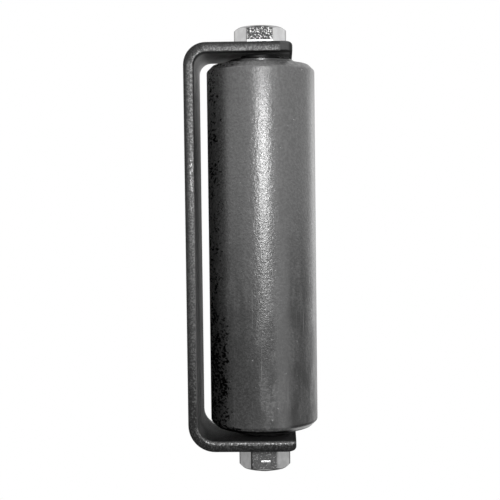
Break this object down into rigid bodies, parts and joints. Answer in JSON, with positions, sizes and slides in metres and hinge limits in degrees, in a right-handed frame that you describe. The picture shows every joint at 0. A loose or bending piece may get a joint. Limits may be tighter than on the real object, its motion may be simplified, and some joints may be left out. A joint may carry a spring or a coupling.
{
  "type": "guide roller assembly",
  "caption": "Steel guide roller with chamfered ends that turns on sealed ball bearings about a hex bolt clamped between the flanges of a bent strap bracket.",
  "frame": {"origin": "middle of the strap's flat back face, where the bracket is fixed to a structure", "axes": "+X from the back face to the roller, +Y along the strap's width away from the picture's camera, +Z along the roller axis towards the bolt head"},
  "size_m": [0.0675, 0.057, 0.2344],
  "materials": {
    "strap_paint": "satin black paint on flat bar",
    "zinc_plate": "bright zinc plate",
    "nut_steel": "dull zinc plate",
    "roller_steel": "dark mill scale",
    "turned_steel": "turned and oil-blackened",
    "spring_steel": "phosphated",
    "bearing_steel": "ground",
    "ball_steel": "polished",
    "cage_plastic": "natural moulded plastic",
    "seal_rubber": "moulded rubber"
  },
  "bodies": {
    "frame": {"bracket": "strap_paint", "axle_bolt": "zinc_plate", "axle_nut": "nut_steel", "inner_spacer": "turned_steel", "upper_collar": "turned_steel", "lower_collar": "turned_steel", "upper_bearing_inner_ring": "bearing_steel", "lower_bearing_inner_ring": "bearing_steel"},
    "roller": {"roller_shell": "roller_steel", "upper_retaining_ring": "spring_steel", "lower_retaining_ring": "spring_steel", "upper_bearing_outer_ring": "bearing_steel", "upper_bearing_outer_seal": "seal_rubber", "upper_bearing_inner_seal": "seal_rubber", "lower_bearing_outer_ring": "bearing_steel", "lower_bearing_outer_seal": "seal_rubber", "lower_bearing_inner_seal": "seal_rubber"},
    "upper_ball_set": {"upper_bearing_balls": "ball_steel", "upper_bearing_cage": "cage_plastic"},
    "lower_ball_set": {"lower_bearing_balls": "ball_steel", "lower_bearing_cage": "cage_plastic"}
  },
  "joints": [
    {"name": "roller_spin", "type": "hinge", "parent": "frame", "child": "roller", "pos_m": [0.039, 0, 0], "axis": [0, 0, 1], "continuous": true},
    {"name": "upper_ball_set_orbit", "type": "hinge", "parent": "frame", "child": "upper_ball_set", "pos_m": [0.039, 0, 0.0854], "axis": [0, 0, 1], "continuous": true},
    {"name": "lower_ball_set_orbit", "type": "hinge", "parent": "frame", "child": "lower_ball_set", "pos_m": [0.039, 0, -0.0854], "axis": [0, 0, 1], "continuous": true}
  ],
  "couplings": [
    {"joint": "upper_ball_set_orbit", "follows": "roller_spin", "ratio": 0.61667},
    {"joint": "lower_ball_set_orbit", "follows": "roller_spin", "ratio": 0.61667}
  ]
}
